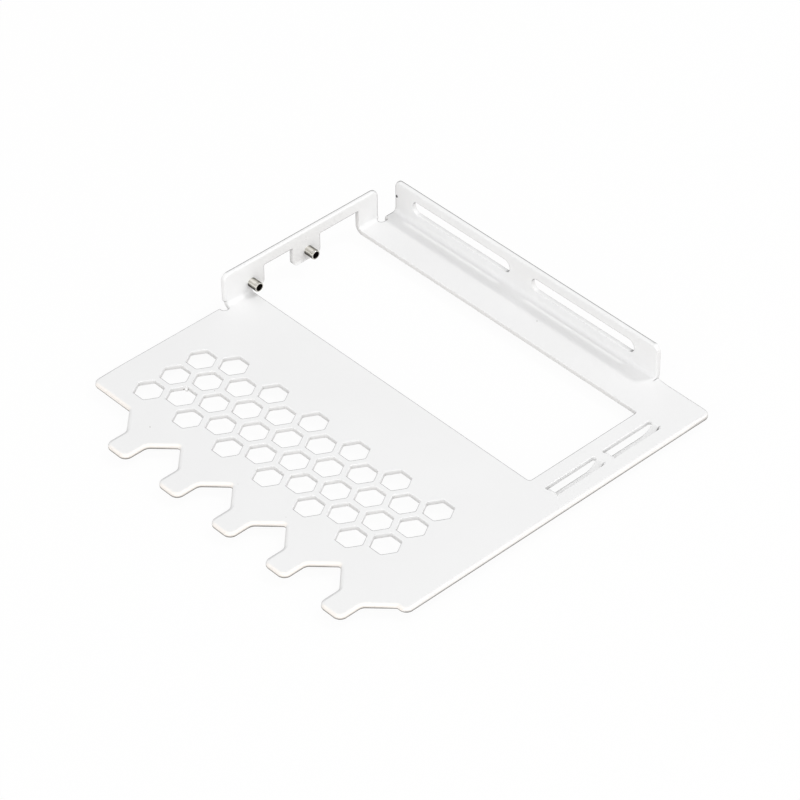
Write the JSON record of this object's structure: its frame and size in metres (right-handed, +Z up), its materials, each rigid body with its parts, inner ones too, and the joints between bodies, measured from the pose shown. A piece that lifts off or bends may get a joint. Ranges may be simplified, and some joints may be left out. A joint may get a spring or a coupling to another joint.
{
  "type": "graphics card support bracket",
  "caption": "Folded white steel bracket that holds a graphics card flat to the back of a computer case: slot tongues, card window, honeycomb vent and screw flange.",
  "frame": {"origin": "middle of the part in X and Y, at the level of its lowest faces, the undersides of the lanced bridges", "axes": "+Z up from the plate, the way the flanges stand; +Y from the tongues to the rear flange; +X from the side flange to the lanced bridges"},
  "size_m": [0.1208, 0.1218, 0.014],
  "materials": {
    "white_powder_coat": "satin",
    "plated_steel": "bright"
  },
  "bodies": {
    "root": {"bracket_sheet": "white_powder_coat", "card_post_1": "plated_steel", "card_post_2": "plated_steel"}
  },
  "joints": []
}
